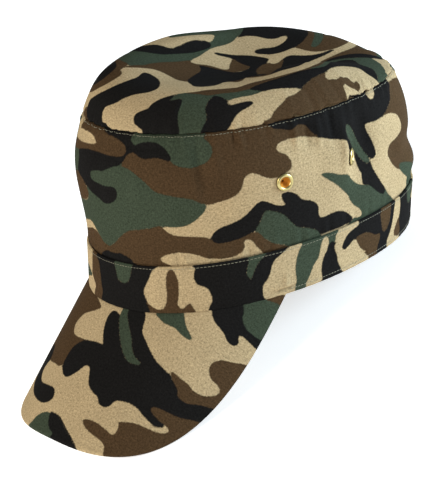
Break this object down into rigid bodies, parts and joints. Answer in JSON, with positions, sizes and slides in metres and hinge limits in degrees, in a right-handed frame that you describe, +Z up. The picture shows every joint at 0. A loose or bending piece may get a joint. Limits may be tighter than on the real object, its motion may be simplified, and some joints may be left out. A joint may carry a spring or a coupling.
{
  "type": "military cap",
  "caption": "Soft cloth cap with a round crown, domed top, headband, brass vent eyelets and a curved stiff peak, lying at rest on a surface.",
  "frame": {"origin": "middle of the cap's footprint on the surface that it rests on", "axes": "+Z up, -Y towards the peak, +X towards the wearer's left; the cap lies tipped back on the corners of its peak and the back of its rim"},
  "size_m": [0.1694, 0.2812, 0.1467],
  "materials": {
    "printed_cotton": "matt plain-woven cotton printed in four-colour camouflage",
    "covered_board": "stiff board covered in the same printed cotton",
    "eyelet_brass": "polished pressed brass"
  },
  "bodies": {
    "root": {"crown_top": "printed_cotton", "crown_wall": "printed_cotton", "headband": "printed_cotton", "peak": "covered_board", "eyelet_left_front": "eyelet_brass", "eyelet_left_rear": "eyelet_brass", "eyelet_right_front": "eyelet_brass", "eyelet_right_rear": "eyelet_brass"}
  },
  "joints": []
}
